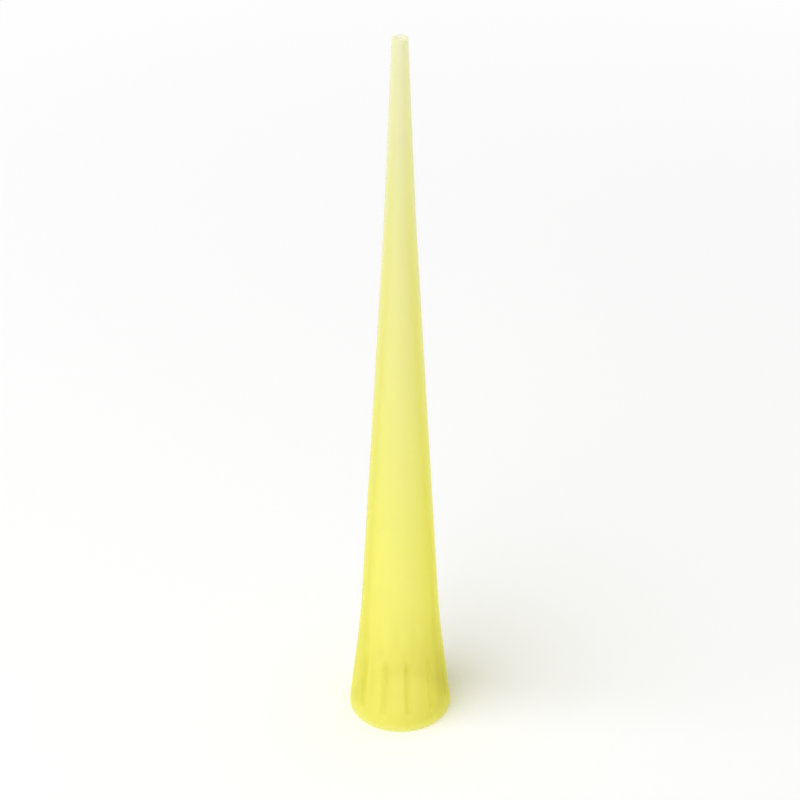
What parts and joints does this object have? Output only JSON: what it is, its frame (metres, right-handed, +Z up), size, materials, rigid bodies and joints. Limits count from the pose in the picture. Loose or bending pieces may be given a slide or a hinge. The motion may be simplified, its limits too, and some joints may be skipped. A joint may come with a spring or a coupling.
{
  "type": "pipette tip",
  "caption": "Slender tapered tip for a hand pipette, with a flared, inwardly ribbed socket at its mouth and a fine nozzle at its end.",
  "frame": {"origin": "centre of the mouth, on the flat rim that the tip stands on", "axes": "+Z up the bore from the mouth to the nozzle, and +X through the middle of a rib"},
  "size_m": [0.0072, 0.0072, 0.051],
  "materials": {
    "yellow_plastic": "translucent natural moulded surface, smooth, pale lemon yellow"
  },
  "bodies": {
    "root": {"pipette_tip": "yellow_plastic"}
  },
  "joints": []
}
